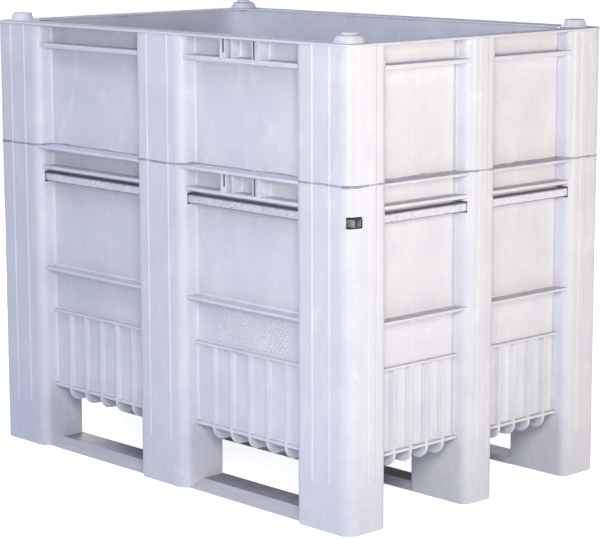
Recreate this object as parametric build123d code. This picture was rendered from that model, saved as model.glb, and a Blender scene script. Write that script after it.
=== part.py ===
from build123d import *
import os

os.makedirs("parts", exist_ok=True)

# A stackable pallet box of moulded plastic: a lower box on nine feet and three runners,
# with a second box's upper part welded on its rim and steel tubes round its walls.
# Origin at the middle of the footprint on the floor, X along the long sides, Z up.

# Overall outline and heights
length = 1200.0
width = 800.0
joint_height = 725.0
collar_height = 285.0
rim_overhang = 2.0
rim_thick = 7.0

# Walls: flat inner wall set back from the faces of the posts
wall = 5.0
long_panel_setback = 43.0
short_panel_setback = 34.0
corner_radius = 30.0
inner_radius = 95.0

# Posts and legs, seen on the long and on the short side
long_corner_post = 163.0
long_mid_post = 162.0
long_shoulder = 24.0
short_corner_post = 115.0
short_mid_post = 94.0
short_shoulder = 16.0
leg_edge = 7.0

# Floor and the rib grid under it
floor_height = 148.0
floor_thick = 6.0
grid_depth = 31.0
grid_rib = 4.0
grid_round = 28.0
long_pitch = 58.0
long_ribs = 5
short_pitch = 49.5
short_ribs = 4

# Horizontal ribs and ledges in the bays
long_rib_setback = 11.0
short_rib_setback = 4.0
rib_corner = 34.0
rib_thick = 8.0
rib_round = 1.5
upper_rib_drop = 56.0
second_rib_height = 428.0
ledge_proud = 5.0
ledge_thick = 5.0
sill_height = 147.0
top_ledge_height = 327.0
bay_rib = 5.0

# Seat for a clip between the rim and the upper rib, in one bay of each long side
seat_rib = 7.0
seat_plate = 3.0
seat_slot = 4.0
seat_plate_setback = 16.0
seat_stop = 13.0
seat_middle_setback = 20.0

# Beads on the long faces and raised strips on the short faces of the posts
bead_radius = 4.0
bead_proud = 1.5
bead_start = 98.0
bead_taper = 45.0
mid_bead = 35.0
outer_bead = 58.0
inner_bead = 109.0
strip_proud = 1.2
strip_slope = 1.0
corner_strip = 15.0
corner_strip_place = 62.5
mid_strip = 22.0

# Steel tubes
tube = 20.0
tube_wall = 2.0
tube_round = 2.0
long_tube_setback = 19.0
short_tube_setback = 9.0
tube_drop = 85.0
tube_fit = 0.3
tube_gap = 2.0
long_tube_end = 15.0
window_edge = 4.5
window_wide = 34.5
window_top = 4.0

# Runners
runner_height = 15.5
runner_toe = 15.0
runner_ramp = 39.0
middle_toe = 1.5
middle_ramp = 20.0
runner_fit = 0.4

# Stacking pegs
peg_radius = 31.0
peg_height = 20.0
peg_button = 16.0
peg_step = 4.0
peg_bulge_radius = 26.5
peg_bulge_height = 9.0
cone_radius = 28.5
cone_top = 21.0
cone_height = 17.0
peg_edge = 2.0
peg_room = 2.0
peg_inset = 47.0

# Joint groove between the two mouldings
groove_high = 2.0
groove_deep = 1.5

# Worked out from the values above
face_x = length / 2 - rim_overhang
face_y = width / 2 - rim_overhang
panel_x = face_x - short_panel_setback
panel_y = face_y - long_panel_setback
inner_x = panel_x - wall
inner_y = panel_y - wall
ledge_x = panel_x + ledge_proud
ledge_y = panel_y + ledge_proud
leg_depth = short_corner_post
top_height = joint_height + collar_height
tube_height = joint_height - tube_drop
bay_x = (long_mid_post / 2 + face_x - long_corner_post) / 2
bay_y = (short_mid_post / 2 + face_y - short_corner_post) / 2
overlap = 1.0


def plan(half_x, half_y, radius):
    return RectangleRounded(2 * half_x, 2 * half_y, radius)


def slab(sketch, bottom, top):
    return extrude(Pos(0, 0, bottom) * sketch, amount=top - bottom, dir=(0, 0, 1))


def block(x0, x1, y0, y1, z0, z1):
    middle = Pos((x0 + x1) / 2, (y0 + y1) / 2, (z0 + z1) / 2)
    return middle * Box(abs(x1 - x0), abs(y1 - y0), abs(z1 - z0))


def bands(face, corner, middle):
    return [(-face, corner - face), (-middle / 2, middle / 2), (face - corner, face)]


def edge_radius(x, y):
    """Rounding of an upright edge: box corner, post shoulder on either side, or plain leg edge."""
    on_short = abs(x) == face_x
    on_long = abs(y) == face_y
    if on_short and on_long:
        return corner_radius
    if on_long:
        return long_shoulder
    if on_short:
        return short_shoulder
    return leg_edge


def tower(band_x, band_y, inset):
    """Plan of one leg with the post above it, drawn in by the inset."""
    sketch = Pos(sum(band_x) / 2, sum(band_y) / 2) * Rectangle(
        band_x[1] - band_x[0] - 2 * inset, band_y[1] - band_y[0] - 2 * inset)
    for x in band_x:
        for y in band_y:
            corner = sketch.vertices().sort_by_distance((x, y, 0))[0]
            sketch = fillet(corner, edge_radius(x, y) - inset)
    return sketch


def towers(inset):
    long_bands = bands(face_x, long_corner_post, long_mid_post)
    short_bands = bands(face_y, short_corner_post, short_mid_post)
    sketches = [tower(bx, by, inset) for bx in long_bands for by in short_bands]
    return Sketch() + sketches


panel_plan = plan(panel_x, panel_y, inner_radius + wall)
inner_plan = plan(inner_x, inner_y, inner_radius)
post_plan = towers(0)
hollow_plan = towers(wall)
wall_plan = post_plan + panel_plan - inner_plan - (hollow_plan - panel_plan)


def ledge(bottom):
    """A thin ledge round the walls that keeps the posts hollow."""
    ring = plan(ledge_x, ledge_y, leg_edge) - inner_plan - (hollow_plan - panel_plan)
    return slab(ring, bottom, bottom + ledge_thick)


def rounded_slab(half_x, half_y, radius, bottom, top, rounding):
    solid = slab(plan(half_x, half_y, radius), bottom, top)
    rims = solid.faces().sort_by(Axis.Z)
    return fillet(rims[0].edges() + rims[-1].edges(), rounding)


def rib_ring(bottom):
    """Horizontal rib across all bays, with rounded front edges, ending in the post walls."""
    top = bottom + rib_thick
    ring = rounded_slab(face_x - short_rib_setback, face_y - long_rib_setback, rib_corner,
                        bottom, top, rib_round)
    return ring - slab(inner_plan, bottom, top) - slab(hollow_plan - panel_plan, bottom, top)


def rim_ring(overhang, top):
    """Flat rim that closes the hollow posts from above."""
    bottom = top - rim_thick
    ring = rounded_slab(face_x + overhang, face_y + overhang, corner_radius + overhang,
                        bottom, top, rib_round)
    return ring - slab(inner_plan, bottom, top)


def clip_seat(rim_top):
    """Upright ribs in one bay of each long side, with a narrow slot beside the outer two."""
    z0 = rim_top - upper_rib_drop + rib_thick - overlap
    z1 = rim_top - rim_thick + overlap
    back = overlap - panel_y
    left, right = bay_x - long_pitch, bay_x + long_pitch
    solids = []
    for x, inward in ((left, 1), (right, -1)):
        near = x + inward * seat_rib / 2
        slot_end = near + inward * seat_slot
        plate_end = slot_end + inward * seat_plate
        solids.append(block(x - seat_rib / 2, x + seat_rib / 2, long_rib_setback - face_y, back, z0, z1))
        solids.append(block(slot_end, plate_end, seat_plate_setback - face_y, back, z0, z1))
        solids.append(block(near, slot_end, seat_plate_setback - face_y, back, z0, z0 + seat_stop))
    middle = left + long_pitch / 2
    solids.append(block(middle - seat_rib / 2, middle + seat_rib / 2,
                        seat_middle_setback - face_y, back, z0, z1))
    return solids + [Rot(0, 0, 180) * s for s in solids]


def beads(bottom, top, tapered):
    """Half-round beads on the long faces; the lower ends run out into the face."""
    sunk = bead_radius - bead_proud
    taper = bead_taper if tapered else 0
    solids = []
    for x in (mid_bead, face_x - outer_bead, face_x - inner_bead):
        for sx in (-1, 1):
            for sy in (-1, 1):
                axis = Pos(sx * x, sy * (face_y - sunk), bottom)
                solids.append(axis * Pos(0, 0, taper) * Cylinder(
                    bead_radius, top - bottom - taper, align=(Align.CENTER, Align.CENTER, Align.MIN)))
                if tapered:
                    solids.append(axis * Cone(sunk, bead_radius, taper,
                                              align=(Align.CENTER, Align.CENTER, Align.MIN)))
    outside = plan(face_x + bead_radius, face_y + bead_radius, corner_radius)
    inside = plan(face_x - overlap, face_y - overlap, corner_radius)
    skin = slab(outside - inside, bottom, top)
    return [s & skin for s in solids]


def strips(bottom, top):
    """Low raised strips on the short faces."""
    solids = []
    for sx in (-1, 1):
        for y, broad in ((0, mid_strip), (face_y - corner_strip_place, corner_strip),
                         (corner_strip_place - face_y, corner_strip)):
            strip = block(sx * (face_x - overlap), sx * (face_x + strip_proud),
                          y - broad / 2, y + broad / 2, bottom, top)
            front = strip.faces().sort_by(Axis.X)[-1 if sx > 0 else 0]
            solids.append(chamfer(front.edges(), strip_slope))
    return solids


# Floor grid: plates in both directions whose ends curve down and in from the sill
def grid_plate(half_run):
    outline = Rectangle(2 * half_run, grid_depth)
    lower = outline.vertices().group_by(Axis.Y)[0]
    return extrude(fillet(lower, grid_round), amount=grid_rib / 2, both=True)


def pattern(middle, pitch, count):
    return [side * (middle + pitch * (i - (count - 1) / 2)) for side in (-1, 1) for i in range(count)]


grid_places_x = pattern(bay_x, long_pitch, long_ribs)
grid_places_y = pattern(bay_y, short_pitch, short_ribs)
grid_middle = floor_height - grid_depth / 2 + overlap
cross_plate = Rot(0, 0, 90) * Rot(90, 0, 0) * grid_plate(ledge_y)
run_plate = Rot(90, 0, 0) * grid_plate(ledge_x)
grid = [Pos(x, 0, grid_middle) * cross_plate for x in grid_places_x]
grid += [Pos(0, y, grid_middle) * run_plate for y in grid_places_y]

# Upright ribs on the outside of the lower bays
bay_low, bay_high = sill_height + overlap, top_ledge_height + overlap
bay_ribs = []
for side in (-1, 1):
    for x in grid_places_x:
        bay_ribs.append(block(x - bay_rib / 2, x + bay_rib / 2, side * ledge_y,
                              side * (panel_y - overlap), bay_low, bay_high))
    for y in grid_places_y:
        bay_ribs.append(block(side * ledge_x, side * (panel_x - overlap),
                              y - bay_rib / 2, y + bay_rib / 2, bay_low, bay_high))


# Tubes: the long pair reach into the corner windows, the short pair end between them
def square_tube(run):
    outside = RectangleRounded(tube, tube, tube_round)
    inside = Rectangle(tube - 2 * tube_wall, tube - 2 * tube_wall)
    return extrude(outside - inside, amount=run / 2, both=True)


tube_middle = tube_height + tube / 2
long_tube_y = face_y - long_tube_setback - tube / 2
short_tube_x = face_x - short_tube_setback - tube / 2
long_tube_run = 2 * (face_x - long_tube_end)
short_tube_run = 2 * (long_tube_y - tube / 2 - tube_gap)
long_tube = Rot(0, 90, 0) * square_tube(long_tube_run)
short_tube = Rot(90, 0, 0) * square_tube(short_tube_run)

# Slots through the post walls, and at two opposite corners the window by which a long tube goes in
slot = tube + 2 * tube_fit
slots = []
for side in (-1, 1):
    slots.append(Pos(0, side * long_tube_y, tube_middle) * Box(2 * (face_x - corner_radius), slot, slot))
    slots.append(Pos(side * short_tube_x, 0, tube_middle) * Box(slot, 2 * (face_y - corner_radius), slot))
    slots.append(block(side * (face_x - corner_radius), side * (face_x + overlap),
                       -side * (face_y - window_edge - window_wide), -side * (face_y - window_edge),
                       tube_height - tube_fit, tube_height + tube + window_top))


# Runners: a sloped bar between the feet and a pad that fills each open foot
def bar_outline(toe_out, toe_in, top_out, top_in):
    points = [(toe_out, 0), (toe_in, 0), (top_in, runner_height), (top_out, runner_height)]
    return make_face(Polyline(*points, close=True))


def runner_bars(outline):
    leg_x = face_x - long_corner_post
    start, end = long_mid_post / 2 - wall - runner_fit, leg_x + wall + runner_fit
    bar = extrude(Plane.YZ * outline, amount=end - start, dir=(1, 0, 0))
    return [Pos(start, 0, 0) * bar, Pos(-end, 0, 0) * bar]


def runner(outline, band_y, peg_rows):
    pads = [tower(bx, band_y, wall + runner_fit) for bx in bands(face_x, long_corner_post, long_mid_post)]
    solid = slab(Sketch() + pads, 0, runner_height) + runner_bars(outline)
    for y in peg_rows:
        for x in (-peg_x, peg_x):
            solid -= Pos(x, y, 0) * Cylinder(peg_radius + peg_room, 2 * runner_height + overlap)
    return solid


side_bands = bands(face_y, short_corner_post, short_mid_post)
peg_x = face_x - peg_inset
peg_y = face_y - peg_inset
ramp_start = face_y - runner_toe
side_outline = bar_outline(-ramp_start, leg_depth - face_y, runner_ramp - ramp_start, leg_depth - face_y)
middle_start = short_mid_post / 2 - middle_toe
middle_outline = bar_outline(-middle_start, middle_start, middle_ramp - middle_start,
                             middle_start - middle_ramp)
front_runner = runner(side_outline, side_bands[0], [-peg_y])
middle_runner = runner(middle_outline, side_bands[1], [])
rear_runner = Rot(0, 0, 180) * front_runner

# Lower box
legs = slab(post_plan - hollow_plan, 0, floor_height)
floor = slab(panel_plan, floor_height, floor_height + floor_thick)
walls = slab(wall_plan, floor_height, joint_height)
sill = ledge(sill_height)
top_ledge = ledge(top_ledge_height)
second_rib = rib_ring(second_rib_height)
upper_rib = rib_ring(joint_height - upper_rib_drop)
lower_rim = rim_ring(0, joint_height)
lower_box = walls + [legs, floor, sill, top_ledge, second_rib, upper_rib, lower_rim]
lower_box = lower_box + grid + bay_ribs
lower_box = lower_box + clip_seat(joint_height)
lower_box = lower_box + beads(bead_start, joint_height, True)
lower_box = lower_box + strips(bead_start, joint_height)
lower_box = lower_box - slots
lower_box = lower_box - runner_bars(side_outline) - runner_bars(middle_outline)
lower_box = lower_box - [Rot(0, 0, 180) * b for b in runner_bars(side_outline)]


# Collar with its pegs: stepped domes on one diagonal, flat cones on the other
def dome_peg():
    shoulder = peg_height - peg_step
    neck = peg_button + peg_edge
    side = ThreePointArc((peg_radius, 0), (peg_bulge_radius, peg_bulge_height), (neck, shoulder))
    rest = Polyline((neck, shoulder), (peg_button, shoulder), (peg_button, peg_height),
                    (0, peg_height), (0, 0), (peg_radius, 0))
    return revolve(Plane.XZ * make_face(side + rest), Axis.Z)


def cone_peg():
    peg = Cone(cone_radius, cone_top, cone_height, align=(Align.CENTER, Align.CENTER, Align.MIN))
    return fillet(peg.faces().sort_by(Axis.Z)[-1].edges(), peg_edge)


collar_walls = slab(wall_plan, joint_height, top_height - rim_thick)
groove = slab(post_plan + panel_plan - towers(groove_deep) - plan(
    panel_x - groove_deep, panel_y - groove_deep, inner_radius + wall - groove_deep),
    joint_height, joint_height + groove_high)
collar = collar_walls + [rib_ring(top_height - upper_rib_drop), rim_ring(rim_overhang, top_height)]
collar = collar + clip_seat(top_height)
collar = collar + beads(joint_height + groove_high, top_height - rim_thick, False)
collar = collar + strips(joint_height + groove_high, top_height - rim_thick)
collar = collar - groove
for sx in (-1, 1):
    for sy in (-1, 1):
        peg = cone_peg() if sx == sy else dome_peg()
        collar = collar + Pos(sx * peg_x, sy * peg_y, top_height) * peg

nodes = {
    "lower_box": lower_box,
    "extension_collar": collar,
    "front_runner": front_runner,
    "middle_runner": middle_runner,
    "rear_runner": rear_runner,
    "front_bar": Pos(0, -long_tube_y, tube_middle) * long_tube,
    "rear_bar": Pos(0, long_tube_y, tube_middle) * long_tube,
    "right_bar": Pos(short_tube_x, 0, tube_middle) * short_tube,
    "left_bar": Pos(-short_tube_x, 0, tube_middle) * short_tube,
}
for name, solid in nodes.items():
    print(name, len(solid.solids()), round(solid.volume), solid.is_valid)
    export_step(solid, f"parts/{name}.step")
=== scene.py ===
from math import copysign, radians, sin, sqrt

import bmesh
import bpy
from mathutils import Matrix, Vector


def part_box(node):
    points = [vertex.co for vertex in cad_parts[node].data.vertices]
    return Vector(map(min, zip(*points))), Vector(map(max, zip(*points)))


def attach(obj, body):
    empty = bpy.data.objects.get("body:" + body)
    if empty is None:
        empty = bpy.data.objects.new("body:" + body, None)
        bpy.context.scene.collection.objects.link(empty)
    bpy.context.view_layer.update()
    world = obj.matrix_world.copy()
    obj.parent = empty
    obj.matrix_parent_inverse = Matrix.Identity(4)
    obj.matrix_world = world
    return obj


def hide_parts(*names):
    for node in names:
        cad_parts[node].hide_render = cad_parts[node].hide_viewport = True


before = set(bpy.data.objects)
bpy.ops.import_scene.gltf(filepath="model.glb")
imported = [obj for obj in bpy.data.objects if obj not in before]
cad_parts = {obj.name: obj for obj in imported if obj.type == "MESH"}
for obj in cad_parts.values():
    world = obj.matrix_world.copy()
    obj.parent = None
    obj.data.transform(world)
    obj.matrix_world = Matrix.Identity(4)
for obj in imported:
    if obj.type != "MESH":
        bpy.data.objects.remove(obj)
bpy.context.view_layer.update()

# Lower box: one injection moulding of white polyethylene. Its flat walls stand back between eight hollow
# posts that run down into nine legs; thin ribs stiffen the bays and the floor. Sizes are in millimetres.
MM = 0.001
merge_distance, fine_distance, plane_slack, level_slack = 0.02 * MM, 0.01 * MM, 0.001 * MM, 0.1
face_x, face_y, corner_round = 598, 398, 30
panel_x, panel_y = 564, 355
long_bay, short_bay = (81, 435), (47, 283)
long_shoulder, short_shoulder, long_root, short_root = 24, 22, 5, 4
outer_wall, inner_wall = 4, 4
floor_low, lower_top = 148, 724.3
overlap = 1  # by which parts of one moulding run into each other


def flat_face(corners, spot):
    """A face from corners (a, b, rounding); spot turns a and b into a point."""
    bm = bmesh.new()
    made = [(bm.verts.new(Vector(spot(a, b)) * MM), r) for a, b, r in corners]
    bm.faces.new([v for v, r in made])
    for radius in sorted({r for v, r in made if r}):
        bmesh.ops.bevel(bm, geom=[v for v, r in made if r == radius], offset=radius * MM,
                        offset_type="OFFSET", affect="VERTICES", segments=max(3, round(2 * sqrt(radius))),
                        profile=0.5, material=-1)
    return bm


def move(bm, made, x, y, z):
    """Moves the vertices that an extrusion has just made."""
    verts = [g for g in made["geom"] if isinstance(g, bmesh.types.BMVert)]
    bmesh.ops.translate(bm, verts=verts, vec=Vector((x, y, z)) * MM)


def drawn(bm, x, y, z):
    """Draws the face of bm out into a closed solid."""
    move(bm, bmesh.ops.extrude_face_region(bm, geom=bm.faces[:]), x, y, z)
    bmesh.ops.recalc_face_normals(bm, faces=bm.faces[:])
    return bm


def walled(bm, x, y, z):
    """Draws the outline of the face of bm out into a wall that is open at both ends."""
    bmesh.ops.delete(bm, geom=bm.faces[:], context="FACES_ONLY")
    move(bm, bmesh.ops.extrude_edge_only(bm, edges=bm.edges[:]), x, y, z)
    return bm


def thicken(bm, thickness):
    """Gives an open wall its thickness, outwards where it is negative, and points its faces outwards."""
    bmesh.ops.remove_doubles(bm, verts=bm.verts[:], dist=merge_distance)
    bmesh.ops.recalc_face_normals(bm, faces=bm.faces[:])
    bmesh.ops.solidify(bm, geom=bm.faces[:], thickness=thickness * MM)
    bmesh.ops.recalc_face_normals(bm, faces=bm.faces[:])
    return bm


def rounded(bm, edges, radius, segments=2):
    bmesh.ops.bevel(bm, geom=edges, offset=radius * MM, offset_type="OFFSET", affect="EDGES",
                    segments=segments, profile=0.5, material=-1, clamp_overlap=True)
    return bm


def sharp_edges(bm, angle=50):
    return [e for e in bm.edges if e.calc_face_angle(0) > radians(angle)]


def edges_below(edges, height):
    return [e for e in edges if all(v.co.z < height * MM for v in e.verts)]


def cut(bm, low, high):
    """Cuts a box-shaped hole into the open walls of bm."""
    low, high = Vector(low) * MM, Vector(high) * MM

    def touches(face):
        spans = [[v.co[i] for v in face.verts] for i in range(3)]
        return all(min(s) < high[i] - fine_distance and max(s) > low[i] + fine_distance
                   for i, s in enumerate(spans))

    for axis in range(3):
        for place in (low, high):
            faces = [f for f in bm.faces if touches(f)]
            edges = {e for f in faces for e in f.edges}
            verts = {v for f in faces for v in f.verts}
            normal = [int(i == axis) for i in range(3)]
            bmesh.ops.bisect_plane(bm, geom=faces + list(edges) + list(verts), dist=plane_slack,
                                   plane_co=place, plane_no=normal)
    bmesh.ops.delete(bm, geom=[f for f in bm.faces if touches(f)], context="FACES")


def add(target, part, *turns):
    """Adds part to target, turned by each of the angles about the upright axis."""
    for turn in turns or (0,):
        copy = part.copy()
        copy.transform(Matrix.Rotation(radians(turn), 4, "Z"))
        mesh = bpy.data.meshes.new("part")
        copy.to_mesh(mesh)
        target.from_mesh(mesh)
        bpy.data.meshes.remove(mesh)
        copy.free()
    part.free()


def outline(inset, bottom):
    """The outside from above: posts and the walls between them, two sides and the same turned half round."""
    fx, fy, px, py = face_x - inset, face_y - inset, panel_x - inset, panel_y - inset
    (la, lb), (sa, sb) = [(a - inset, b + inset) for a, b in (long_bay, short_bay)]
    ls, lr = long_shoulder - inset, long_root + inset
    ss, sr = short_shoulder - inset, short_root + inset
    corner = corner_round - inset
    front = [(-lb, -fy, ls), (-lb, -py, lr), (-la, -py, lr), (-la, -fy, ls),
             (la, -fy, ls), (la, -py, lr), (lb, -py, lr), (lb, -fy, ls)]
    right = [(fx, -sb, ss), (px, -sb, sr), (px, -sa, sr), (fx, -sa, ss),
             (fx, sa, ss), (px, sa, sr), (px, sb, sr), (fx, sb, ss)]
    half = front + [(fx, -fy, corner)] + right + [(fx, fy, corner)]
    return flat_face(half + [(-x, -y, r) for x, y, r in half], lambda x, y: (x, y, bottom))


leg_round, foot_round = 7, 1.2


def leg(band_x, band_y):
    """Outline of one leg, with a point where the wall of the post above leaves it."""
    (x0, x1), (y0, y1) = band_x, band_y

    def rounding(x, y):
        on_short, on_long = abs(x) == face_x, abs(y) == face_y
        if on_short and on_long:
            return corner_round
        return long_shoulder if on_long else short_shoulder if on_short else leg_round

    corners = [(x0, y0), (x1, y0), (x1, y1), (x0, y1)]
    points = []
    for (ax, ay), (bx, by) in zip(corners, corners[1:] + corners[:1]):
        points.append((ax, ay, rounding(ax, ay)))
        if ax == bx and abs(ax) != face_x:
            points += [(ax, copysign(panel_y + long_root, y), 0) for y in (ay, by) if abs(y) == face_y]
        if ay == by and abs(ay) != face_y:
            points += [(copysign(panel_x + short_root, x), ay, 0) for x in (ax, bx) if abs(x) == face_x]
    return flat_face(points, lambda x, y: (x, y, 0))


# The outer walls with their legs, slots for the tubes and a window at two corners.
tube_half, tube_middle, long_tube, short_tube = 10, 650, 369, 579
slot_gap, slot_reach = 2.3, 8
slot_half = tube_half + slot_gap
slot_low, slot_high = tube_middle - slot_half, tube_middle + slot_half
window_y, window_z, window_reach = (359, 393.5), (640, 664), 2
lower = bmesh.new()
shell = walled(outline(0, floor_low), 0, 0, lower_top - floor_low)
for band_x in ((-face_x, -long_bay[1]), (-long_bay[0], long_bay[0]), (long_bay[1], face_x)):
    for band_y in ((-face_y, -short_bay[1]), (-short_bay[0], short_bay[0]), (short_bay[1], face_y)):
        add(shell, walled(leg(band_x, band_y), 0, 0, floor_low))
bmesh.ops.remove_doubles(shell, verts=shell.verts[:], dist=merge_distance)
for side in (-1, 1):
    slot_y = sorted((side * (long_tube - slot_half), side * (long_tube + slot_half)))
    for x in (-long_bay[1], -long_bay[0], long_bay[0], long_bay[1]):
        cut(shell, (x - slot_reach, slot_y[0], slot_low), (x + slot_reach, slot_y[1], slot_high))
    slot_x = sorted((side * (short_tube - slot_half), side * (short_tube + slot_half)))
    for y in (-short_bay[1], -short_bay[0], short_bay[0], short_bay[1]):
        cut(shell, (slot_x[0], y - slot_reach, slot_low), (slot_x[1], y + slot_reach, slot_high))
    open_x = sorted((side * (face_x - corner_round), side * (face_x + window_reach)))
    open_y = sorted(-side * edge for edge in window_y)
    cut(shell, (open_x[0], open_y[0], window_z[0]), (open_x[1], open_y[1], window_z[1]))
thicken(shell, outer_wall)
add(lower, rounded(shell, edges_below(sharp_edges(shell), level_slack), foot_round))

# The smooth tub inside and the floor plate under it.
inner_x, inner_y, inner_round = 559, 350, 95
floor_high, floor_round = 154, 12
floor_inset, floor_corner, floor_plate = 2, 98, 3
corner_signs = ((-1, -1), (1, -1), (1, 1), (-1, 1))
inner_corners = [(sx * inner_x, sy * inner_y, inner_round) for sx, sy in corner_signs]
inside = drawn(flat_face(inner_corners, lambda x, y: (x, y, floor_high)), 0, 0, lower_top - floor_high)
lid = max(inside.faces, key=lambda f: f.calc_center_median().z)
bmesh.ops.delete(inside, geom=[lid], context="FACES_ONLY")
rounded(inside, edges_below(sharp_edges(inside), floor_high + level_slack), floor_round, segments=4)
add(lower, thicken(inside, -inner_wall))
plate_corners = [(sx * (panel_x - floor_inset), sy * (panel_y - floor_inset), floor_corner)
                 for sx, sy in corner_signs]
add(lower, drawn(flat_face(plate_corners, lambda x, y: (x, y, floor_low)), 0, 0, floor_plate))

# Plates under the floor, with rounded ends that show below the bays.
ledge = 10.6
grid_low, grid_round, grid_thick, grid_edge = 117, 28, 8.5, 3
long_places = (142, 200, 258, 316, 374)
short_places = (90.75, 140.25, 189.75, 239.25)


def grid_plate(half_run, place):
    corners = [(-half_run, grid_low, grid_round), (half_run, grid_low, grid_round),
               (half_run, floor_low + overlap, 0), (-half_run, floor_low + overlap, 0)]
    plate = drawn(flat_face(corners, lambda run, z: (place - grid_thick / 2, run, z)), grid_thick, 0, 0)
    return rounded(plate, sharp_edges(plate), grid_edge, segments=3)


for place in long_places:
    add(lower, grid_plate(panel_y + ledge, place), 0, 180)
for place in short_places:
    add(lower, grid_plate(panel_x + ledge, place), 90, 270)

# Ribs across the bays, the flange under the joint, and the row of upright ribs in the lower bays.
long_rib_front, short_rib_front = 387, 594
middle_rib, upper_rib, upper_ledge, lower_ledge = (429, 435.6), (669, 677), (326.5, 332.5), (145.5, 152.5)
flange, flange_setback = (717, lower_top), 1
rib_overlap, rib_buried, root_lift, root_share = 7, 2.5, 0.1, 0.97
rib_root, rib_nose = 4.5, 1.6
ledge_root, upper_ledge_nose, lower_ledge_nose = 3, 1.4, 1.8
flange_root, flange_nose = 4, 2.6
bay_rib_half, bay_rib_proud, bay_rib_low, bay_rib_high = 3.2, 10, 150, 329
bay_rib_root, bay_rib_nose = 1.5, 0.9
both_roots, upper_only, lower_only = (True, True), (False, True), (True, False)


def rib_profile(panel, front, low, high, root, nose, roots=both_roots):
    """Outline of a rib seen along it: rounded nose, hollow roots below and above at the wall."""
    back, foot, fillet = panel - rib_buried, panel + root_lift, root * root_share
    lower_root = [(back, low - root, 0), (foot, low - root, 0), (foot, low, fillet)]
    upper_root = [(foot, high, fillet), (foot, high + root, 0), (back, high + root, 0)]
    return ((lower_root if roots[0] else [(back, low, 0)]) + [(front, low, nose), (front, high, nose)]
            + (upper_root if roots[1] else [(back, high, 0)]))


def cross_rib(profile, start, end):
    """A rib across a bay of the front side, from start to end."""
    return drawn(flat_face(profile, lambda out, z: (start, -out, z)), end - start, 0, 0)


def upright_rib(profile, bottom, top):
    """An upright rib on a wall of the front side."""
    return drawn(flat_face(profile, lambda out, along: (along, -out, bottom)), 0, 0, top - bottom)


def bay_spans(bay):
    """The two bays of a side, with the ends of the ribs let into the posts."""
    start, end = bay[0] - rib_overlap, bay[1] + rib_overlap
    return (-end, -start), (start, end)


sides = ((long_bay, face_y, panel_y, long_rib_front, long_places, (0, 180)),
         (short_bay, face_x, panel_x, short_rib_front, short_places, (90, 270)))
for bay, face, panel, rib_front, places, turns in sides:
    ribs = ((rib_front, middle_rib, rib_root, rib_nose, both_roots),
            (rib_front, upper_rib, rib_root, rib_nose, both_roots),
            (panel + ledge, upper_ledge, ledge_root, upper_ledge_nose, both_roots),
            (panel + ledge, lower_ledge, ledge_root, lower_ledge_nose, upper_only),
            (face - flange_setback, flange, flange_root, flange_nose, lower_only))
    for start, end in bay_spans(bay):
        for front, (low, high), root, nose, roots in ribs:
            profile = rib_profile(panel, front, low, high, root, nose, roots)
            add(lower, cross_rib(profile, start, end), *turns)
    for place in places:
        for middle in (-place, place):
            low, high = middle - bay_rib_half, middle + bay_rib_half
            profile = rib_profile(panel, panel + bay_rib_proud, low, high, bay_rib_root, bay_rib_nose)
            add(lower, upright_rib(profile, bay_rib_low, bay_rib_high), *turns)

# Narrow ridges on the long faces of the posts and broad low strips on the short ones.
ridge_places, ridge_broad, ridge_slope, ridge_proud = (-538, -487, -36, 34, 489.5, 540), 2.2, 2.4, 2
strip_sizes, strip_slope, strip_proud = ((-331, 15.5), (0, 21), (331, 15.5)), 4, 1.7
strip_bottom, strip_taper, strip_edge = 96, 10, 0.5


def upright_strip(face, place, broad, slope, proud, bottom, taper, top):
    """Low strip with sloped sides on a front face; its lower end runs out into the face."""
    half, buried, foot, sunk, narrowed = broad / 2, face - 1, face + 0.05, 0.3, 0.3
    profile = [(buried, place - half - slope, 0), (foot, place - half - slope, 0),
               (face + proud, place - half, strip_edge), (face + proud, place + half, strip_edge),
               (foot, place + half + slope, 0), (buried, place + half + slope, 0)]
    bm = upright_rib(profile, bottom, top)
    if taper:
        bmesh.ops.bisect_plane(bm, geom=bm.verts[:] + bm.edges[:] + bm.faces[:], dist=plane_slack,
                               plane_co=(0, 0, (bottom + taper) * MM), plane_no=(0, 0, 1))
        ends = [v for v in bm.verts if v.co.z < (bottom + level_slack) * MM]
        bmesh.ops.translate(bm, verts=ends, vec=(0, (proud + sunk) * MM, 0))
        bmesh.ops.scale(bm, verts=ends, vec=(narrowed, 1, 1), space=Matrix.Translation((-place * MM, 0, 0)))
    return bm


def post_strips(target, bottom, taper, top):
    for place in ridge_places:
        ridge = upright_strip(face_y, place, ridge_broad, ridge_slope, ridge_proud, bottom, taper, top)
        add(target, ridge, 0, 180)
    for place, broad in strip_sizes:
        strip = upright_strip(face_x, place, broad, strip_slope, strip_proud, bottom, taper, top)
        add(target, strip, 90, 270)


post_strips(lower, strip_bottom, strip_taper, lower_top)

# Clip seats in one bay of each long side: upright ribs (middle, half thickness, front) and one low block.
seat_ribs = ((199, 3.5, 387), (210, 1.5, 385.5), (226, 3.5, 380), (297, 1.5, 385.5), (308, 4.5, 384),
             (316, 3.5, 387))
seat_root, seat_nose = 3, 1.2
first_slit, second_slit = (202, 209), (298, 304)
block_back, block_front, block_high = panel_y - 2, 385, 13
lower_seat = (676, 719)


def clip_seat(target, low, high):
    for middle, half, front in seat_ribs:
        profile = rib_profile(panel_y, front, middle - half, middle + half, seat_root, seat_nose)
        add(target, upright_rib(profile, low, high), 0, 180)
    start, end = first_slit
    block = [(block_back, start, 0), (block_front, start, 0), (block_front, end, 0), (block_back, end, 0)]
    add(target, upright_rib(block, low, low + block_high), 0, 180)


clip_seat(lower, *lower_seat)

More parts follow.
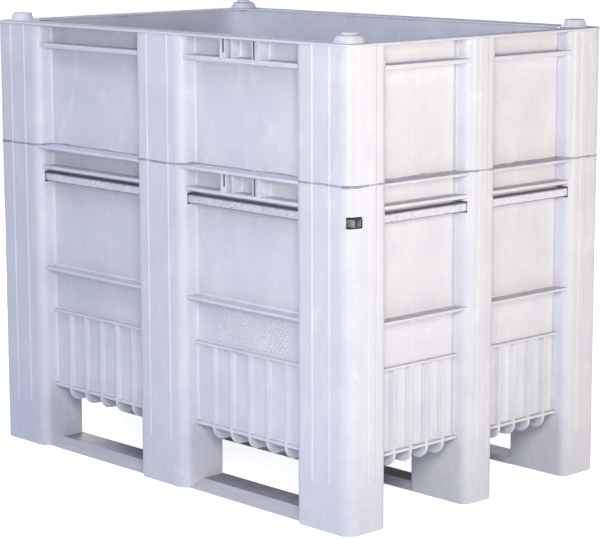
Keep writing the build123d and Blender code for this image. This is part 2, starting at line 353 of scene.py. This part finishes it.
# Field of raised grip dots below each clip seat, in staggered rows.
dot_pitch, row_pitch, dot_radius, dot_sunk, dot_shape = 13, 7.5, 3.3, 0.4, (0.9, 0.95, 1, 1)
dots_middle, dots_across, dots_low, dots_high = 262, 216, 345, 418
dots = bmesh.new()
for row in range(round((dots_high - dots_low) / row_pitch) + 1):
    for column in range(round(dots_across / dot_pitch)):
        x = dots_middle - dots_across / 2 + (column + row % 2 / 2) * dot_pitch
        spot = Vector((x, dot_sunk - panel_y, dots_low + row * row_pitch)) * MM
        bmesh.ops.create_uvsphere(dots, u_segments=10, v_segments=6, radius=dot_radius * MM,
                                  matrix=Matrix.Translation(spot) @ Matrix.Diagonal(dot_shape))
add(lower, dots, 0, 180)


def finished(name, bm, sharp_angle=38):
    """Makes the piece, smooth but for its sharp edges."""
    mesh = bpy.data.meshes.new(name)
    bm.to_mesh(mesh)
    bm.free()
    mesh.shade_smooth()
    mesh.set_sharp_from_angle(angle=radians(sharp_angle))
    piece = bpy.data.objects.new(name, mesh)
    bpy.context.scene.collection.objects.link(piece)
    piece.modifiers.new("normals", "WEIGHTED_NORMAL").keep_sharp = True
    return piece


def colour(code):
    """Linear colour from an sRGB hex code."""
    parts = [int(code[i:i + 2], 16) / 255 for i in (1, 3, 5)]
    return [p / 12.92 if p <= 0.04045 else ((p + 0.055) / 1.055) ** 2.4 for p in parts] + [1]


def material(name):
    made = bpy.data.materials.new(name)
    made.use_nodes = True
    made.node_tree.nodes.clear()
    return made


def across(*sizes):
    """Pattern scale at which one patch is about this many millimetres across, one size or one each way."""
    scales = [1 / (size * MM) for size in sizes]
    return scales[0] if len(scales) == 1 else scales


def node(tree, kind, settings, inputs):
    """Adds a node. An input is a value, or the node or the output socket that it is linked to."""
    made = tree.nodes.new("ShaderNode" + kind)
    for key, value in settings.items():
        setattr(made, key, value)
    for key, value in inputs.items():
        in_use = [s for s in made.inputs if s.enabled]
        socket = in_use[key] if isinstance(key, int) else next(s for s in in_use if s.name == key)
        if isinstance(value, bpy.types.Node):
            value = next(s for s in value.outputs if s.enabled)
        if isinstance(value, bpy.types.NodeSocket):
            tree.links.new(value, socket)
        else:
            socket.default_value = value
    return made


# White high-density polyethylene, satin from the mould: cloudy patches some 80 mm wide, upright streaks and
# pale scuffs from rubbing, a few dark specks, dull grey dust and painted shade on what faces up, and a darker
# bluish grey towards the feet. The grain of the mould is finer than a render shows, so it is drawn 1.4 mm
# wide.
plastic_ior = 1.53
colours = {"data_type": "RGBA"}
polyethylene = material("hdpe_white_satin")
tree = polyethylene.node_tree
position = node(tree, "TexCoord", {}, {}).outputs["Object"]
height = node(tree, "SeparateXYZ", {}, {0: position}).outputs["Z"]
clouds = node(tree, "TexNoise", {}, {"Vector": position, "Scale": across(83.3), "Detail": 4.0,
                                     "Roughness": 0.6})
tone = node(tree, "MapRange", {}, {"Value": clouds, "From Min": 0.3, "From Max": 0.7})
base = node(tree, "Mix", colours, {"Factor": tone, "A": colour("#D7D8E2"), "B": colour("#E1E2E9")})
runs = node(tree, "Mapping", {}, {"Vector": position, "Scale": across(12.5, 12.5, 143)})
rubs = node(tree, "TexNoise", {}, {"Vector": runs, "Scale": 1.0, "Detail": 5.0, "Distortion": 0.8})
smears = node(tree, "MapRange", {}, {"Value": rubs, "From Min": 0.48, "From Max": 0.76, "To Max": 0.2})
streaked = node(tree, "Mix", colours, {"Factor": smears, "A": base, "B": colour("#EDEEF2")})
tall = node(tree, "Mapping", {}, {"Vector": position, "Scale": across(52.6, 52.6, 125)})
patches = node(tree, "TexNoise", {}, {"Vector": tall, "Scale": 1.0, "Detail": 8.0, "Roughness": 0.68,
                                      "Distortion": 0.6})
scuffs = node(tree, "MapRange", {}, {"Value": patches, "From Min": 0.56, "From Max": 0.72, "To Max": 0.55})
scuffed = node(tree, "Mix", colours, {"Factor": scuffs, "A": streaked, "B": colour("#F1F2F4")})
cells = node(tree, "TexVoronoi", {}, {"Vector": position, "Scale": across(25)})
speck = node(tree, "Math", {"operation": "LESS_THAN"}, {0: cells.outputs["Distance"], 1: 0.035})
chance = node(tree, "SeparateColor", {}, {0: cells.outputs["Color"]})
few = node(tree, "Math", {"operation": "GREATER_THAN"}, {0: chance, 1: 0.75})
marks = node(tree, "Math", {"operation": "MULTIPLY"}, {0: speck, 1: few})
faint = node(tree, "Math", {"operation": "MULTIPLY"}, {0: marks, 1: 0.4})
specked = node(tree, "Mix", colours, {"Factor": faint, "A": scuffed, "B": colour("#7C7C84")})
facing = node(tree, "NewGeometry", {}, {}).outputs["Normal"]
upward = node(tree, "SeparateXYZ", {}, {0: facing}).outputs["Z"]
lying = node(tree, "MapRange", {}, {"Value": upward, "From Min": 0.6, "From Max": 0.95})
grit = node(tree, "TexNoise", {}, {"Vector": position, "Scale": across(14.3), "Detail": 5.0,
                                   "Roughness": 0.7})
thick = node(tree, "MapRange", {}, {"Value": grit, "From Min": 0.3, "From Max": 0.7, "To Min": 0.35,
                                    "To Max": 0.9})
# Dust and painted shade: what faces up is greyed, partly for dust and partly for the shade that tops get.
dust_and_shade = node(tree, "Math", {"operation": "MULTIPLY"}, {0: lying, 1: thick})
dusty_and_shaded = node(tree, "Mix", colours, {"Factor": dust_and_shade, "A": specked, "B": colour("#A9A7AF")})
# Darker bluish grey towards the feet, fading out over the lowest 200 mm.
low_down = node(tree, "MapRange", {}, {"Value": height, "From Min": 200 * MM, "From Max": 0.0, "To Max": 0.3})
blotch_mask = node(tree, "Math", {"operation": "MULTIPLY"}, {0: thick, 1: low_down})
darker_low = node(tree, "Mix", colours, {"Factor": blotch_mask, "A": dusty_and_shaded, "B": colour("#9EA2B6")})
satin = node(tree, "MapRange", {}, {"Value": clouds, "From Min": 0.3, "From Max": 0.7, "To Min": 0.36,
                                    "To Max": 0.48})
dulled = node(tree, "Mix", {}, {"Factor": lying, "A": satin, "B": 0.95})
grain = node(tree, "TexNoise", {}, {"Vector": position, "Scale": across(1.43), "Detail": 2.0})
ripple = node(tree, "TexNoise", {}, {"Vector": position, "Scale": across(62.5), "Detail": 1.0})
fine = node(tree, "Bump", {}, {"Strength": 0.15, "Distance": 0.4 * MM, "Height": grain})
wavy = node(tree, "Bump", {}, {"Strength": 0.2, "Distance": 1.2 * MM, "Height": ripple, "Normal": fine})
plastic = node(tree, "BsdfPrincipled", {}, {"Base Color": darker_low, "Roughness": dulled, "IOR": plastic_ior,
                                            "Normal": wavy})
node(tree, "OutputMaterial", {}, {"Surface": plastic})

lower_box = finished("lower_box_moulding", lower)
lower_box.data.materials.append(polyethylene)
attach(lower_box, "root")
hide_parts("lower_box")

# Runners: three low skids of grey-white polyethylene, moulded with pads that plug into the open feet. Their
# long edges slope so that truck rollers climb over them, and the ground has scraped them dull.
runner_round, runner_edge_angle = 1.5, 12

# Scraped polyethylene: matt, with long scrapes along the skid; what faces up holds trodden dirt and painted
# shade.
scraped = material("hdpe_scraped_matt")
tree = scraped.node_tree
position = node(tree, "TexCoord", {}, {}).outputs["Object"]
along = node(tree, "Mapping", {}, {"Vector": position, "Scale": across(83.3, 11.1, 11.1)})
scrapes = node(tree, "TexNoise", {}, {"Vector": along, "Scale": 1.0, "Detail": 6.0, "Roughness": 0.65})
worn = node(tree, "MapRange", {}, {"Value": scrapes, "From Min": 0.35, "From Max": 0.7})
tint = node(tree, "Mix", colours, {"Factor": worn, "A": colour("#E6E6EE"), "B": colour("#D2D1DA")})
facing = node(tree, "NewGeometry", {}, {}).outputs["Normal"]
upward = node(tree, "SeparateXYZ", {}, {0: facing}).outputs["Z"]
# Trodden dirt and painted shade: the tops of the skids are darkened partly for dirt and partly for the shade
# they get.
lying = node(tree, "MapRange", {}, {"Value": upward, "From Min": 0.9, "From Max": 0.99, "To Max": 0.9})
grit = node(tree, "TexNoise", {}, {"Vector": position, "Scale": across(22.2), "Detail": 6.0,
                                   "Roughness": 0.7})
dark_tone = node(tree, "Mix", colours, {"Factor": grit, "A": colour("#6E6876"), "B": colour("#A6A3B0")})
trodden_and_shaded = node(tree, "Mix", colours, {"Factor": lying, "A": tint, "B": dark_tone})
pits = node(tree, "TexNoise", {}, {"Vector": position, "Scale": across(3.33), "Detail": 4.0})
pitted = node(tree, "Bump", {}, {"Strength": 0.3, "Distance": 0.6 * MM, "Height": pits})
plastic = node(tree, "BsdfPrincipled", {}, {"Base Color": trodden_and_shaded, "Roughness": 0.6, "IOR": plastic_ior,
                                            "Normal": pitted})
node(tree, "OutputMaterial", {}, {"Surface": plastic})

for name in ("front_runner", "middle_runner", "rear_runner"):
    skid = bmesh.new()
    skid.from_mesh(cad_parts[name].data)
    bmesh.ops.remove_doubles(skid, verts=skid.verts[:], dist=fine_distance)
    bmesh.ops.dissolve_limit(skid, angle_limit=radians(1), verts=skid.verts[:], edges=skid.edges[:])
    bmesh.ops.recalc_face_normals(skid, faces=skid.faces[:])
    runner = finished(name + "_skid", rounded(skid, sharp_edges(skid, runner_edge_angle), runner_round))
    runner.data.materials.append(scraped)
    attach(runner, "root")
    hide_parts(name)

# Bars: four square tubes of galvanised steel, threaded through slots in the posts under the upper rib to
# stop the walls bulging. Each long one goes in by a window, where its cut end shows.
tube_edge, tube_wall, tube_end = 2.5, 2, 597
shade_above, shade_below, rust_from_end = (6.2, 8.4), (7.2, 8.8), (3.5, 0.5)
hidden_end, short_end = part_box("front_bar")[0][0] / MM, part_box("right_bar")[1][1] / MM

# Galvanised steel, weathered dull: zinc spangle 11 mm wide, small grey spots on the sides, painted shade
# along the upper and lower edges, and rust on the cut ends.
galvanised = material("galvanised_steel_dull")
tree = galvanised.node_tree
position = node(tree, "TexCoord", {}, {}).outputs["Object"]
split = node(tree, "SeparateXYZ", {}, {0: position}).outputs
spangle = node(tree, "TexVoronoi", {}, {"Vector": position, "Scale": across(11.1)})
shade = node(tree, "SeparateColor", {}, {0: spangle.outputs["Color"]})
zinc = node(tree, "Mix", colours, {"Factor": shade, "A": colour("#B8B8C2"), "B": colour("#C6C6CE")})
streaks = node(tree, "Mapping", {}, {"Vector": position, "Scale": across(9.09, 9.09, 3.03)})
patches = node(tree, "TexNoise", {}, {"Vector": streaks, "Scale": 1.0, "Detail": 6.0, "Roughness": 0.7})
from_middle = node(tree, "Math", {"operation": "SUBTRACT"}, {0: split["Z"], 1: tube_middle * MM})
# Painted shade: a dark band along the top of each tube for the shadow under the rib, and a thin one along its
# bottom edge.
top_shade = node(tree, "MapRange", {}, {"Value": from_middle, "From Min": shade_above[0] * MM,
                                     "From Max": shade_above[1] * MM, "To Min": -0.02, "To Max": 0.35})
bottom_shade = node(tree, "MapRange", {}, {"Value": from_middle, "From Min": -shade_below[0] * MM,
                                      "From Max": -shade_below[1] * MM, "To Max": 0.35})
spots_and_top_shade = node(tree, "Math", {"operation": "ADD"}, {0: patches, 1: top_shade})
spots_and_shade = node(tree, "Math", {"operation": "ADD"}, {0: spots_and_top_shade, 1: bottom_shade})
spot_and_shade_mask = node(tree, "MapRange", {}, {"Value": spots_and_shade, "From Min": 0.55, "From Max": 0.64, "To Max": 0.75})
metal = node(tree, "Mix", colours, {"Factor": spot_and_shade_mask, "A": zinc, "B": colour("#707184")})
far_out = node(tree, "Math", {"operation": "ABSOLUTE"}, {0: split["X"]})
at_cut = node(tree, "MapRange", {}, {"Value": far_out, "From Min": (tube_end - rust_from_end[0]) * MM,
                                     "From Max": (tube_end - rust_from_end[1]) * MM, "To Max": 0.92})
rusted = node(tree, "Mix", colours, {"Factor": at_cut, "A": metal, "B": colour("#453C40")})
rough = node(tree, "MapRange", {}, {"Value": shade, "To Min": 0.68, "To Max": 0.78})
dents = node(tree, "Bump", {}, {"Strength": 0.1, "Distance": 0.5 * MM, "Height": patches})
steel = node(tree, "BsdfPrincipled", {}, {"Base Color": rusted, "Metallic": 1.0, "Roughness": rough,
                                          "Normal": dents})
node(tree, "OutputMaterial", {}, {"Surface": steel})


def square_tube(start, end, place):
    """A tube along a front side, rounded along its edges and open at both ends."""
    corners = [(a * tube_half, b * tube_half, tube_edge) for a, b in corner_signs]
    section = flat_face(corners, lambda out, up: (start, -place - out, tube_middle + up))
    return thicken(walled(section, end - start, 0, 0), tube_wall)


for name, start, end, place, turn in (("front_bar", hidden_end, tube_end, long_tube, 0),
                                      ("rear_bar", hidden_end, tube_end, long_tube, 180),
                                      ("right_bar", -short_end, short_end, short_tube, 90),
                                      ("left_bar", -short_end, short_end, short_tube, 270)):
    tube = bmesh.new()
    add(tube, square_tube(start, end, place), turn)
    bar = finished(name + "_tube", tube)
    bar.data.materials.append(galvanised)
    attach(bar, "root")
    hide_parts(name)

# Collar: the upper part of a second box of the same moulding, cut off and welded on the rim of the lower
# one. Its own rim closes the posts from above and carries four stacking pegs.
collar_low, inside_low, rim_low, rim_high = 727, 725, 1004.5, 1010
rim_x, rim_y, rim_round, rim_edge = 600, 400, 32, 2
collar_rib, collar_nose = (953, 963.5), 2.2
upper_seat = (961, 1004)
peg_x, peg_y, peg_steps = 551, 351, 48
upper = bmesh.new()
shell = walled(outline(0, collar_low), 0, 0, rim_low + overlap - collar_low)
add(upper, thicken(shell, outer_wall))
inside = walled(flat_face(inner_corners, lambda x, y: (x, y, inside_low)), 0, 0, rim_low - inside_low)
add(upper, thicken(inside, -inner_wall))
for bay, face, panel, rib_front, places, turns in sides:
    for start, end in bay_spans(bay):
        profile = rib_profile(panel, rib_front, *collar_rib, rib_root, collar_nose)
        add(upper, cross_rib(profile, start, end), *turns)
post_strips(upper, collar_low, 0, rim_low)
clip_seat(upper, *upper_seat)

rim = flat_face([(sx * rim_x, sy * rim_y, rim_round) for sx, sy in corner_signs],
                lambda x, y: (x, y, rim_low))
add(rim, flat_face(inner_corners, lambda x, y: (x, y, rim_low)))
bmesh.ops.delete(rim, geom=rim.faces[:], context="FACES_ONLY")
bmesh.ops.bridge_loops(rim, edges=rim.edges[:])
drawn(rim, 0, 0, rim_high - rim_low)
add(upper, rounded(rim, sharp_edges(rim), rim_edge, segments=3))


def turned(points, x, y):
    """A peg spun from its outline (radius, height)."""
    bm = bmesh.new()
    verts = [bm.verts.new(Vector((r, 0, z)) * MM) for r, z in points]
    edges = [bm.edges.new(pair) for pair in zip(verts, verts[1:])]
    bmesh.ops.spin(bm, geom=verts + edges, cent=(0, 0, 0), axis=(0, 0, 1), angle=radians(360),
                   steps=peg_steps, use_merge=True)
    bmesh.ops.remove_doubles(bm, verts=bm.verts[:], dist=fine_distance)
    bmesh.ops.recalc_face_normals(bm, faces=bm.faces[:])
    bmesh.ops.translate(bm, verts=bm.verts[:], vec=Vector((x, y, 0)) * MM)
    return bm


dome = [(0, -3), (33, -3), (33, 0.6), (32.6, 3), (32, 3.3), (31.7, 6), (31, 6.3), (30.3, 9), (29.4, 9.3),
        (27.6, 12.4), (25, 14.8), (22.4, 16), (20, 16.4), (17.4, 16.6), (16.6, 17.2), (15.8, 20), (15, 21),
        (13.6, 21.4), (0, 21.4)]
hat = [(0, -3), (38, -3), (38, 0.4), (35, 1.2), (32.6, 3), (30.8, 6), (29.4, 9), (28, 12.4), (26, 14.6),
       (22.4, 15.8), (19, 16.2), (17.4, 17), (16.2, 20), (15, 21), (13.6, 21.4), (0, 21.4)]
cone = [(0, -3), (28.6, -3), (28.6, 0.4), (28, 0.8), (22.2, 16), (21.7, 16.7), (21, 17), (0, 17)]
for sx, sy, shape in ((1, -1, dome), (-1, 1, hat), (1, 1, cone), (-1, -1, cone)):
    add(upper, turned([(r, rim_high + z) for r, z in shape], sx * peg_x, sy * peg_y))

collar = finished("collar_moulding", upper)
collar.data.materials.append(polyethylene)
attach(collar, "root")
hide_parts("extension_collar")

# Weld: the line where the two mouldings were heated and pressed together, a narrow wavy bead of darker grey
# round the posts and inside the tub.
weld_low, weld_tall, weld_proud, weld_depth = lower_top - 1.6, 4.6, 0.6, 2.5
inner_proud, inner_depth = 0.3, 3
wave_step = 6
waves = ((0.35, 8, 0), (0.9, 23, 2), (0.5, 61, 1))  # height, length and shift of each

# Polyethylene from the weld, matt, darker grey in lumps some 17 mm wide.
weld_grey = material("hdpe_weld_grey")
tree = weld_grey.node_tree
position = node(tree, "TexCoord", {}, {}).outputs["Object"]
lumps = node(tree, "TexNoise", {}, {"Vector": position, "Scale": across(16.7), "Detail": 5.0})
blotch_mask = node(tree, "MapRange", {}, {"Value": lumps, "From Min": 0.35, "From Max": 0.65})
tint = node(tree, "Mix", colours, {"Factor": blotch_mask, "A": colour("#9698A6"), "B": colour("#BCBDC8")})
plastic = node(tree, "BsdfPrincipled", {}, {"Base Color": tint, "Roughness": 0.65, "IOR": plastic_ior})
node(tree, "OutputMaterial", {}, {"Surface": plastic})

seam = walled(outline(-weld_proud, weld_low), 0, 0, weld_tall)
for half, axis in ((face_x, (1, 0, 0)), (face_y, (0, 1, 0))):
    for step in range(-half // wave_step, half // wave_step + 1):
        bmesh.ops.bisect_plane(seam, geom=seam.verts[:] + seam.edges[:] + seam.faces[:], dist=fine_distance,
                               plane_co=Vector(axis) * step * wave_step * MM, plane_no=axis)
for v in seam.verts:
    run = (v.co.x + v.co.y) / MM
    v.co.z += sum(high * sin(run / long + shift) for high, long, shift in waves) * MM
thicken(seam, weld_depth)
inner_line = [(x - copysign(inner_proud, x), y - copysign(inner_proud, y), r) for x, y, r in inner_corners]
inner_seam = walled(flat_face(inner_line, lambda x, y: (x, y, weld_low)), 0, 0, weld_tall)
add(seam, thicken(inner_seam, -inner_depth))
weld = finished("weld_seam", seam)
weld.data.materials.append(weld_grey)
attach(weld, "root")

# Painted shade in the clip seats: dark fillers in the two narrow slits beside the clip ribs stand in for the
# shade deep inside them.
plug_back, plug_front, plug_round = panel_y - 1, 384.4, 1.5

# Painted shade for the slits: dark grey, matt and uneven, mottled some 6 mm wide.
painted_slit_shade = material("slit_shade_matt")
tree = painted_slit_shade.node_tree
position = node(tree, "TexCoord", {}, {}).outputs["Object"]
shade_mottle = node(tree, "TexNoise", {}, {"Vector": position, "Scale": across(5.56), "Detail": 5.0})
tint = node(tree, "Mix", colours, {"Factor": shade_mottle, "A": colour("#585966"), "B": colour("#868793")})
uneven_bump = node(tree, "Bump", {}, {"Strength": 0.4, "Distance": 1.0 * MM, "Height": shade_mottle})
dark_tone = node(tree, "BsdfPrincipled", {}, {"Base Color": tint, "Roughness": 0.9, "Normal": uneven_bump})
node(tree, "OutputMaterial", {}, {"Surface": dark_tone})

fill = bmesh.new()
for low, high in (lower_seat, upper_seat):
    for (start, end), bottom in ((first_slit, low + block_high - overlap), (second_slit, low)):
        plug = [(plug_back, start, 0), (plug_front, start, plug_round), (plug_front, end, plug_round),
                (plug_back, end, 0)]
        add(fill, upright_rib(plug, bottom, high), 0, 180)
slit_shade = finished("clip_slit_painted_shade", fill)
slit_shade.data.materials.append(painted_slit_shade)
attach(slit_shade, "root")

# Studio: a wide floor of white paper under five soft lamps: a key lamp and a weak one beside the camera, a
# warm one on the right, a bluish one above and one behind. The room is dim and bluish, its backdrop white.
# Sizes here are in metres.
floor_half, fade_start, fade_end = 20, 0.7, 3.5
middle_of_box = Vector((0, 0, 0.5))
floor_mesh = bmesh.new()
bmesh.ops.create_grid(floor_mesh, x_segments=1, y_segments=1, size=floor_half)
ground = bpy.data.meshes.new("floor")
floor_mesh.to_mesh(ground)
floor_mesh.free()
studio_floor = bpy.data.objects.new("floor", ground)
bpy.context.scene.collection.objects.link(studio_floor)


def seen_rays(tree):
    """1 for rays that come from the camera, or from it by way of a reflection or clear material."""
    ray = node(tree, "LightPath", {}, {}).outputs
    seen = node(tree, "Math", {"operation": "ADD"}, {0: ray["Is Camera Ray"], 1: ray["Is Glossy Ray"]})
    return node(tree, "Math", {"operation": "ADD"}, {0: seen, 1: ray["Is Transmission Ray"]})


# White paper, matt: it takes the shadow of the box near by and fades to plain white further away.
white = colour("#FFFFFF")
paper = material("paper_white_matt")
tree = paper.node_tree
position = node(tree, "TexCoord", {}, {}).outputs["Object"]
away = node(tree, "VectorMath", {"operation": "LENGTH"}, {0: position})
level = node(tree, "MapRange", {}, {"Value": away, "From Min": fade_start, "From Max": fade_end,
                                    "To Min": 0.86})
glow = node(tree, "Math", {"operation": "MULTIPLY"}, {0: seen_rays(tree), 1: level})
matt = node(tree, "BsdfDiffuse", {}, {"Color": colour("#E6ECFA")})
lit = node(tree, "Emission", {}, {"Color": white, "Strength": glow})
lit_paper = node(tree, "AddShader", {}, {0: matt, 1: lit})
node(tree, "OutputMaterial", {}, {"Surface": lit_paper})
ground.materials.append(paper)

world = bpy.data.worlds.new("studio")
bpy.context.scene.world = world
world.use_nodes = True
world.node_tree.nodes.clear()
tree = world.node_tree
around = node(tree, "Background", {}, {"Color": colour("#849EFF"), "Strength": 0.1})
backdrop = node(tree, "Background", {}, {"Color": white, "Strength": 1.0})
sky = node(tree, "MixShader", {}, {0: seen_rays(tree), 1: around, 2: backdrop})
node(tree, "OutputWorld", {}, {"Surface": sky})


def facing_box(place):
    """The turn of a lamp or camera at this place that looks at the middle of the box."""
    return (middle_of_box - Vector(place)).to_track_quat("-Z", "Y")


def soft_box(name, place, size, power, tint):
    light = bpy.data.lights.new(name, "AREA")
    light.shape, light.size, light.energy, light.color = "SQUARE", size, power, colour(tint)[:3]
    lamp = bpy.data.objects.new(name, light)
    lamp.location = place
    lamp.visible_camera = False
    lamp.rotation_euler = facing_box(place).to_euler()
    bpy.context.scene.collection.objects.link(lamp)


soft_box("key_lamp", (2.4, -2.0, 1.5), 0.9, 36, "#FFFEFD")
soft_box("camera_lamp", (1.9, -2.2, 0.95), 0.9, 16, "#FFFBE4")
soft_box("side_lamp", (3.3, 1.4, 0.75), 0.8, 42.5, "#FFEDCF")
soft_box("upper_lamp", (-0.5, -1.3, 2.8), 1.5, 34, "#EBF1FF")
soft_box("back_lamp", (-3.2, 2.6, 1.3), 1.5, 85, "#FFFFFF")

# Camera: a long lens from the near right corner, a little above the rim, shifted to frame the whole box.
camera_place, camera_roll = Vector((3.6265, -3.3840, 1.3115)), radians(-0.181)
lens = bpy.data.cameras.new("camera")
lens.sensor_width, lens.lens, lens.shift_x, lens.shift_y = 36, 129.21, 0.0159, -0.0450
camera = bpy.data.objects.new("camera", lens)
camera.matrix_world = (Matrix.Translation(camera_place) @ facing_box(camera_place).to_matrix().to_4x4()
                       @ Matrix.Rotation(camera_roll, 4, "Z"))
bpy.context.scene.collection.objects.link(camera)
bpy.context.scene.camera = camera
bpy.context.scene.view_settings.view_transform = "Standard"
